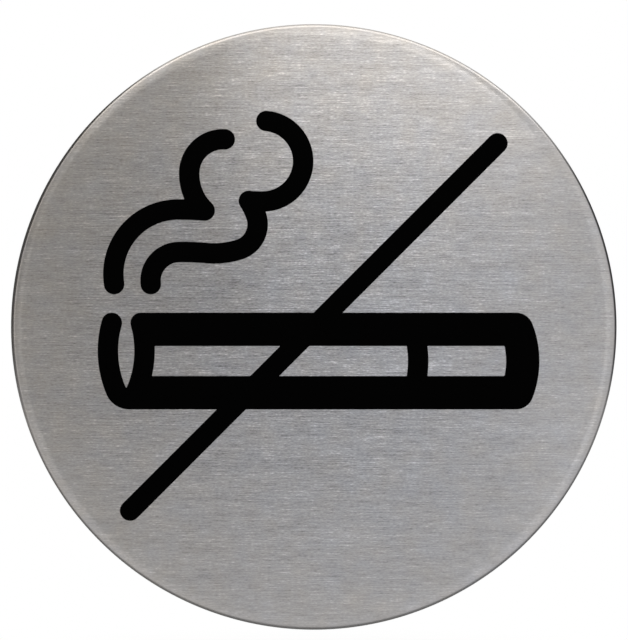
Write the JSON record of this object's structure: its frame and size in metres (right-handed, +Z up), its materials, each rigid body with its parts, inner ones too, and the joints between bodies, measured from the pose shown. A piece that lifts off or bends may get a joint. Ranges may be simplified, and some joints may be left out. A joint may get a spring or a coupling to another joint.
{
  "type": "no smoking sign",
  "caption": "Round stick-on door sign in brushed steel with a rolled rim, printed in black with a smoking cigarette crossed by a slash.",
  "frame": {"origin": "the middle of the adhesive pad's back, on the wall", "axes": "+Z up as the sign hangs, +Y into the wall, and the printed face looks towards -Y"},
  "size_m": [0.083, 0.0022, 0.083],
  "materials": {
    "brushed_stainless_steel": "satin",
    "black_ink": "matte",
    "foam_pad": "matte"
  },
  "bodies": {
    "root": {"steel_disc": "brushed_stainless_steel", "cigarette_print": "black_ink", "left_smoke_print": "black_ink", "right_smoke_print": "black_ink", "adhesive_pad": "foam_pad"}
  },
  "joints": []
}
